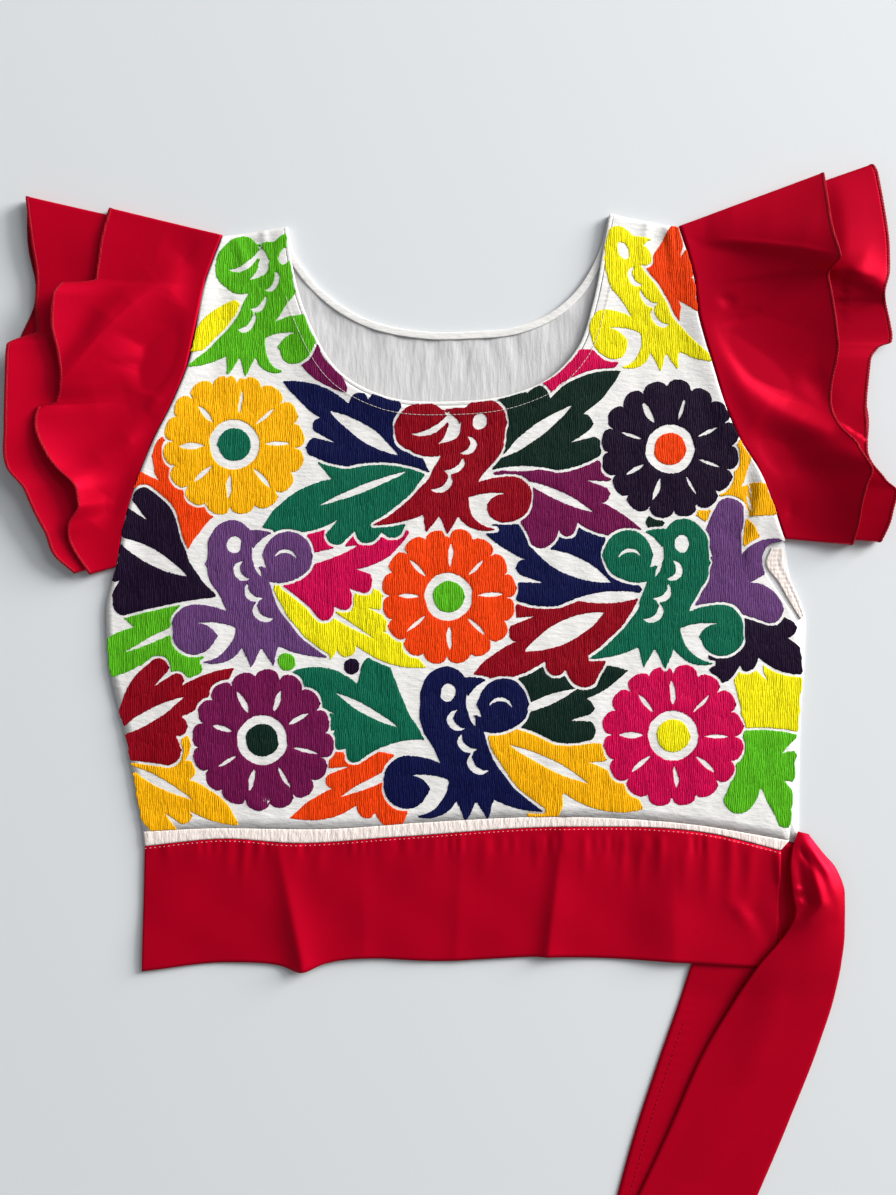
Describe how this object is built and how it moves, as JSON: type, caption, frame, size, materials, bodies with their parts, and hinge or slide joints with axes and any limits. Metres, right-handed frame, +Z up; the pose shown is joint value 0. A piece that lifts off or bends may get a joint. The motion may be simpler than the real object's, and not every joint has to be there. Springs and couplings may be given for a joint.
{
  "type": "crop blouse laid flat",
  "caption": "Short round-neck cotton blouse laid flat, with an embroidered front, double satin flounces at the armholes, a satin waist band and two side ties.",
  "frame": {"origin": "middle of the outline of the laid-out blouse, on the table", "axes": "+X to the viewer's right across the blouse, +Y from the ties up to the neck, +Z up off the table"},
  "size_m": [0.6044, 0.8486, 0.0284],
  "materials": {
    "cotton": "plain-woven white cotton, matt",
    "facing": "cream cotton facing, matt",
    "satin": "red polyester satin with a soft sheen",
    "thread": "satin-stitch embroidery thread in many colours"
  },
  "bodies": {
    "root": {"bodice_front": "cotton", "bodice_back": "cotton", "neck_edge_front": "cotton", "neck_binding_back": "cotton", "waist_strip": "cotton", "side_facing": "facing", "hem_band_front": "satin", "hem_band_back": "satin", "sleeve_left_upper": "satin", "sleeve_left_lower": "satin", "sleeve_right_upper": "satin", "sleeve_right_lower": "satin", "tie_over": "satin", "tie_under": "satin"}
  },
  "joints": []
}
